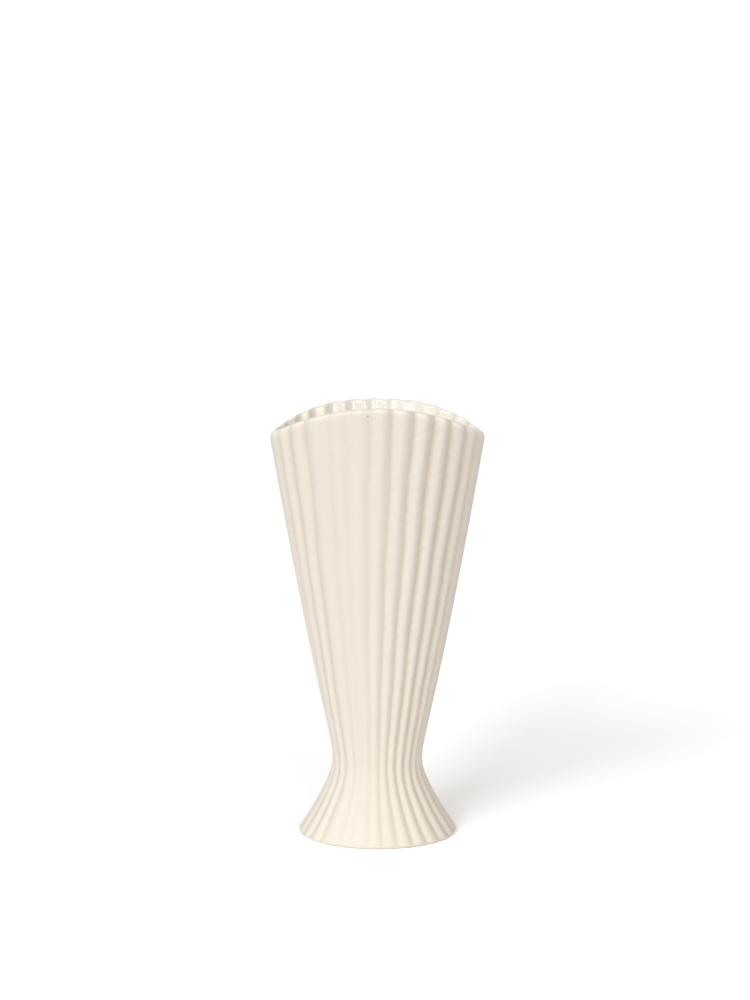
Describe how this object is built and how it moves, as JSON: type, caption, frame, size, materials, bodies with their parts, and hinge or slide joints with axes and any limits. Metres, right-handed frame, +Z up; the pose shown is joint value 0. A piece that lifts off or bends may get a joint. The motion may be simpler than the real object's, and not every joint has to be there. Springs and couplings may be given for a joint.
{
  "type": "fan vase",
  "caption": "Tall ribbed ceramic vase, oval in plan, with an arched fan rim, a narrow waist and a flared foot, for cut or dried stems.",
  "frame": {"origin": "middle of the foot's underside, on the surface that the vase stands on", "axes": "+Z up the vase's axis, +X across the wide side of its oval, -Y towards the viewer of the picture"},
  "size_m": [0.146, 0.1248, 0.3],
  "materials": {
    "glazed_vessel": "cream satin glaze outside, glossy glaze inside and over the lip",
    "glazed_foot": "cream satin glaze, bare on the ring that stands on the shelf",
    "fired_slip": "matt",
    "bare_clay": "matt"
  },
  "bodies": {
    "root": {"fan_body": "glazed_vessel", "foot": "glazed_foot", "waist_slip": "fired_slip", "base_plate": "bare_clay", "base_slip": "fired_slip"}
  },
  "joints": []
}
